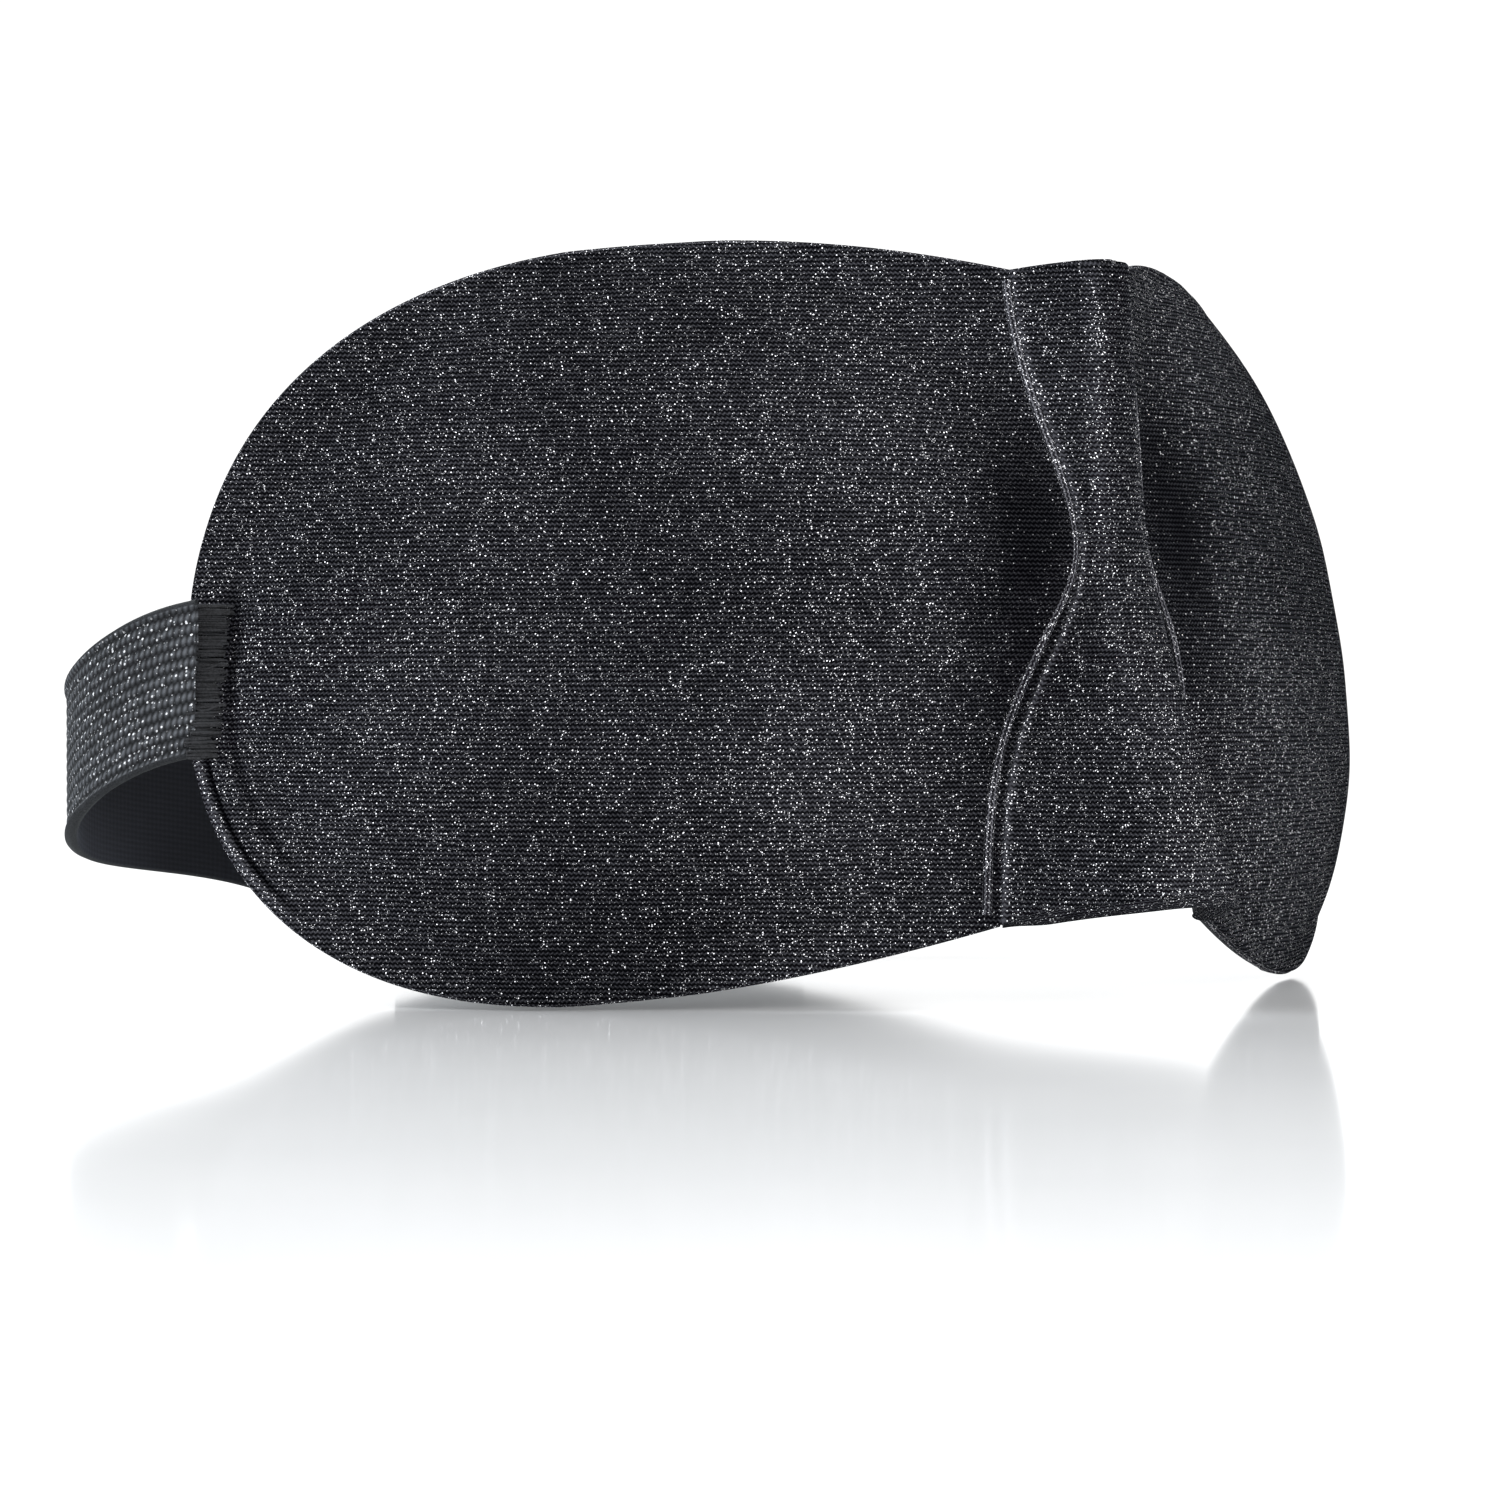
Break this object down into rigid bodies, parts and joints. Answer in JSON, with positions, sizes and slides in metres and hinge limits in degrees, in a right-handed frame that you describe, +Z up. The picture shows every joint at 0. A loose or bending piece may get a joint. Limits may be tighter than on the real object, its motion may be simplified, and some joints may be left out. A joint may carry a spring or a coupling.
{
  "type": "sleep eye mask",
  "caption": "Contoured sleep mask with domed eye cups joined by a raised nose ridge and an elastic head strap that closes at the back with hook and loop.",
  "frame": {"origin": "bottom centre of the standing mask's bounding box, on the surface it stands on", "axes": "+Z up; -Y is the front, the way the wearer faces; +X is to the right as seen from the front"},
  "size_m": [0.2063, 0.1386, 0.097],
  "materials": {
    "knit": "stretch knit with fine glitter",
    "foam": "open-cell foam",
    "lining": "smooth brushed tricot",
    "thread": "matte thread",
    "elastic": "ribbed woven elastic",
    "hook_and_loop": "fibrous",
    "webbing": "woven"
  },
  "bodies": {
    "nose_bridge": {"nose_outer_fabric": "knit", "nose_foam": "foam", "nose_lining": "lining", "nose_lower_lip": "knit"},
    "left_cup": {"left_outer_fabric": "knit", "left_foam_cup": "foam", "left_lining": "lining", "left_crease_welt": "knit", "left_upper_edge_seam": "thread", "left_lower_edge_seam": "thread", "left_bar_tack": "thread"},
    "right_cup": {"right_outer_fabric": "knit", "right_foam_cup": "foam", "right_lining": "lining", "right_crease_welt": "knit", "right_upper_edge_seam": "thread", "right_lower_edge_seam": "thread", "right_bar_tack": "thread"},
    "left_strap": {"left_strap_side": "elastic", "left_strap_back": "elastic", "loop_patch": "hook_and_loop", "loop_patch_stitching": "thread"},
    "right_strap": {"right_strap_side": "elastic", "right_strap_back": "elastic"},
    "hook_end": {"hook_base_webbing": "webbing", "hook_base_stitching": "thread"},
    "hook_tab": {"hook_tab_webbing": "webbing", "hook_patch": "hook_and_loop", "hook_patch_stitching": "thread", "hook_tab_tip": "webbing"}
  },
  "joints": [
    {"name": "left_fold", "type": "hinge", "parent": "nose_bridge", "child": "left_cup", "pos_m": [-0.00929, -0.04816, 0.04847], "axis": [0.094, 0.1148, 0.9889], "range_deg": [-14, 24], "stiffness_Nm_per_rad": 0.05, "deforming": ["left_strap_side"]},
    {"name": "left_strap_flex", "type": "hinge", "parent": "left_cup", "child": "left_strap", "pos_m": [-0.00929, -0.04816, 0.04847], "axis": [0.094, 0.1148, 0.9889], "range_deg": [-24, 14], "deforming": ["left_strap_side"]},
    {"name": "right_fold", "type": "hinge", "parent": "nose_bridge", "child": "right_cup", "pos_m": [0.00929, -0.04816, 0.04847], "axis": [0.094, -0.1148, -0.9889], "range_deg": [-14, 24], "stiffness_Nm_per_rad": 0.05, "deforming": ["right_strap_side"]},
    {"name": "right_strap_flex", "type": "hinge", "parent": "right_cup", "child": "right_strap", "pos_m": [0.00929, -0.04816, 0.04847], "axis": [0.094, -0.1148, -0.9889], "range_deg": [-24, 14], "deforming": ["right_strap_side"]},
    {"name": "strap_adjust", "type": "slide", "parent": "right_strap", "child": "hook_end", "axis": [1, 0, 0], "range_m": [-0.014, 0.012], "deforming": ["right_strap_back"]},
    {"name": "hook_tab_peel", "type": "hinge", "parent": "hook_end", "child": "hook_tab", "pos_m": [0.021, 0.06806, 0.01204], "axis": [0, 0, -1], "range_deg": [0, 110]}
  ],
  "couplings": [
    {"joint": "left_strap_flex", "follows": "left_fold", "ratio": -1},
    {"joint": "right_strap_flex", "follows": "right_fold", "ratio": -1}
  ]
}
